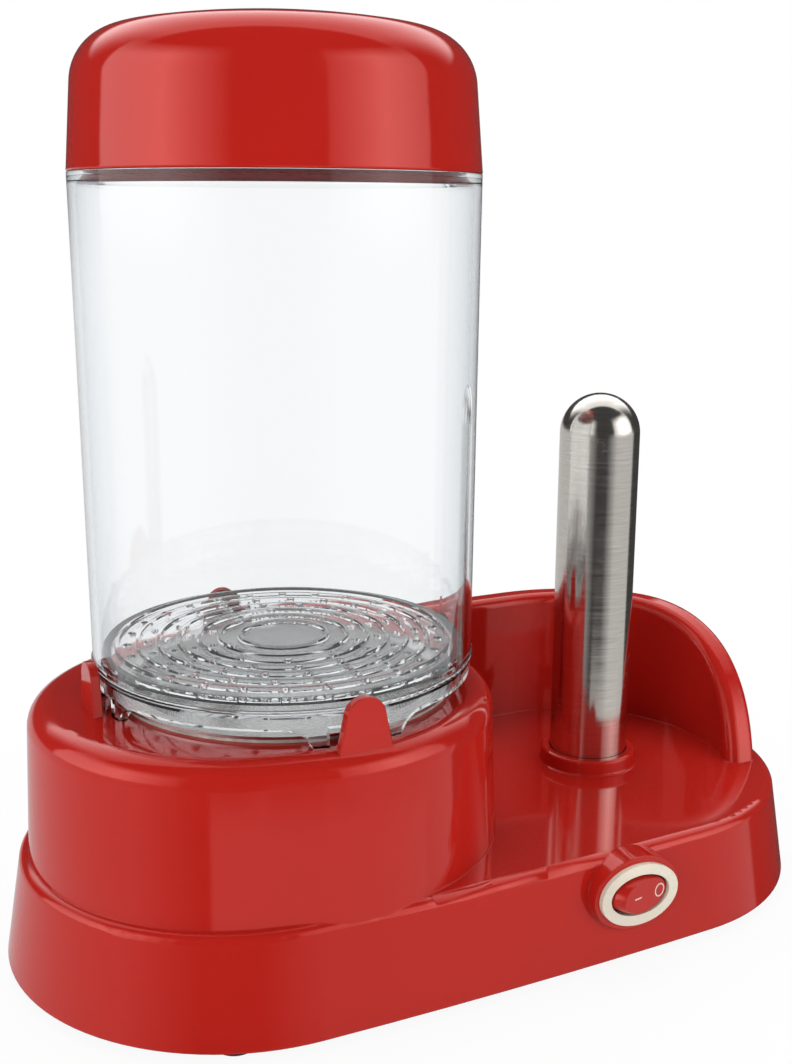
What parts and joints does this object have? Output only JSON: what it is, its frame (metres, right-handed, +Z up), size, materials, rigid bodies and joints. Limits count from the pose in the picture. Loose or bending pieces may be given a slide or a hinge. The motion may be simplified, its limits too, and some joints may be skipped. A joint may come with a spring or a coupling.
{
  "type": "hot dog toaster",
  "caption": "Hot dog cooker with a clear lidded steaming cup on a raised platform, a heated roll spike in a collar, a low back wall and an oval rocker switch.",
  "frame": {"origin": "on the table, under the middle of the whole object", "axes": "+X towards the spike end, -Y towards the switch on the front, +Z up"},
  "size_m": [0.262, 0.1462, 0.2677],
  "materials": {
    "red_plastic": "high gloss moulded red plastic",
    "lid_red_plastic": "high gloss moulded red plastic",
    "rocker_red_plastic": "gloss red plastic with pale printed marks",
    "cover_plastic": "matte black moulded plastic",
    "cup_clear": "clear moulded plastic with a faint blue-grey cast",
    "steam_plate_clear": "clear moulded plastic",
    "pan_steel": "spun stainless steel",
    "seal_silicone": "grey silicone rubber",
    "fixing_steel": "zinc plated pressed steel",
    "heater_aluminium": "cast aluminium disc",
    "element_steel": "heat-darkened steel sheath",
    "thermostat_shell": "pressed steel case",
    "fuse_case": "pale moulded case",
    "spike_steel": "bright polished stainless steel",
    "screw_steel": "zinc plated steel",
    "ceramic": "fired white ceramic",
    "bezel_cream": "cream moulded plastic",
    "switch_black": "black moulded plastic",
    "terminal_brass": "plain brass",
    "block_nylon": "natural nylon",
    "gland_rubber": "black rubber",
    "foot_rubber": "black rubber",
    "lead_brown": "brown wire sleeve",
    "lead_white": "white silicone wire sleeve",
    "lead_blue": "blue wire sleeve",
    "lead_green": "green wire sleeve"
  },
  "bodies": {
    "base": {"housing": "red_plastic", "bottom_cover": "cover_plastic", "foot_front_left": "foot_rubber", "foot_back_left": "foot_rubber", "foot_front_right": "foot_rubber", "foot_back_right": "foot_rubber", "cover_screws": "screw_steel", "heating_pan": "pan_steel", "pan_seal": "seal_silicone", "pan_retaining_ring": "fixing_steel", "heater_plate": "heater_aluminium", "heater_ring": "element_steel", "heater_strap": "fixing_steel", "heater_studs": "fixing_steel", "heater_nuts": "fixing_steel", "thermostat": "thermostat_shell", "thermal_fuse": "fuse_case", "spike_tube": "spike_steel", "spike_clamp_plate": "fixing_steel", "spike_clamp_screws": "screw_steel", "spike_heater": "ceramic", "spike_spacer_lower": "ceramic", "spike_spacer_upper": "ceramic", "switch_frame": "bezel_cream", "switch_base": "switch_black", "switch_terminals": "terminal_brass", "switch_contact": "terminal_brass", "terminal_block": "block_nylon", "terminal_screws": "screw_steel", "lead_line": "lead_brown", "lead_load": "lead_white", "lead_fuse": "lead_white", "lead_ring": "lead_white", "lead_spike": "lead_white", "lead_neutral": "lead_blue", "lead_earth": "lead_green", "inlet_gland": "gland_rubber"},
    "cup_assembly": {"cup": "cup_clear", "steam_plate": "steam_plate_clear"},
    "lid_body": {"lid": "lid_red_plastic"},
    "rocker_body": {"rocker": "rocker_red_plastic"}
  },
  "joints": [
    {"name": "cup_lift", "type": "slide", "parent": "base", "child": "cup_assembly", "axis": [0, 0, 1], "range_m": [0, 0.05]},
    {"name": "lid_lift", "type": "slide", "parent": "cup_assembly", "child": "lid_body", "axis": [0, 0, 1], "range_m": [0, 0.04]},
    {"name": "switch_rocker", "type": "hinge", "parent": "base", "child": "rocker_body", "pos_m": [0.0365, -0.06581, 0.0232], "axis": [0, 0, -1], "range_deg": [0, 24]}
  ]
}
